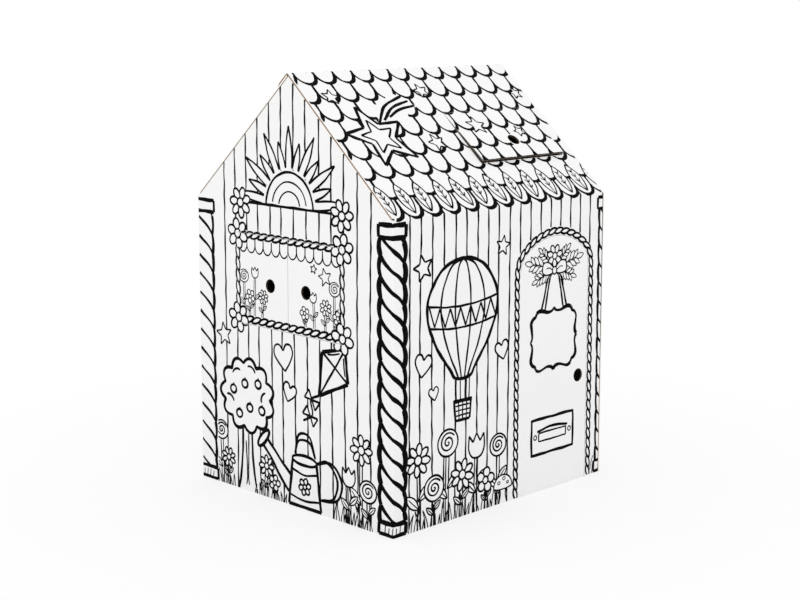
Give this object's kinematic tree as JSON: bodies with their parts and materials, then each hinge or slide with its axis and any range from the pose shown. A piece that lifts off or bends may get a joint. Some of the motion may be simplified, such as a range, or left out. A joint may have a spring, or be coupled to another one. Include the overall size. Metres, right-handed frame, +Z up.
{
  "type": "cardboard playhouse",
  "caption": "Child's playhouse folded from corrugated board, with an arched door, shuttered window, pitched roof and lifting roof hatch.",
  "frame": {"origin": "middle of the open bottom, on the floor", "axes": "+Z up, +X along the ridge away from the window gable, the door wall faces -Y"},
  "size_m": [0.88, 0.812, 1.2185],
  "materials": {
    "printed_board": "matte"
  },
  "bodies": {
    "house": {"front_sheet": "printed_board", "back_sheet": "printed_board"},
    "door": {"door": "printed_board"},
    "left_shutter": {"left_shutter": "printed_board"},
    "right_shutter": {"right_shutter": "printed_board"},
    "hatch": {"roof_hatch": "printed_board"}
  },
  "joints": [
    {"name": "door_crease", "type": "hinge", "parent": "house", "child": "door", "pos_m": [0.066, -0.406, 0.32], "axis": [0, 0, -1], "range_deg": [0, 160]},
    {"name": "left_shutter_crease", "type": "hinge", "parent": "house", "child": "left_shutter", "pos_m": [-0.44, 0.229, 0.6285], "axis": [0, 0, -1], "range_deg": [0, 160]},
    {"name": "right_shutter_crease", "type": "hinge", "parent": "house", "child": "right_shutter", "pos_m": [-0.44, -0.211, 0.6285], "axis": [0, 0, 1], "range_deg": [0, 160]},
    {"name": "hatch_crease", "type": "hinge", "parent": "house", "child": "hatch", "pos_m": [0.208, -0.13817, 1.09405], "axis": [-1, 0, 0], "range_deg": [-2.5, 150]}
  ]
}
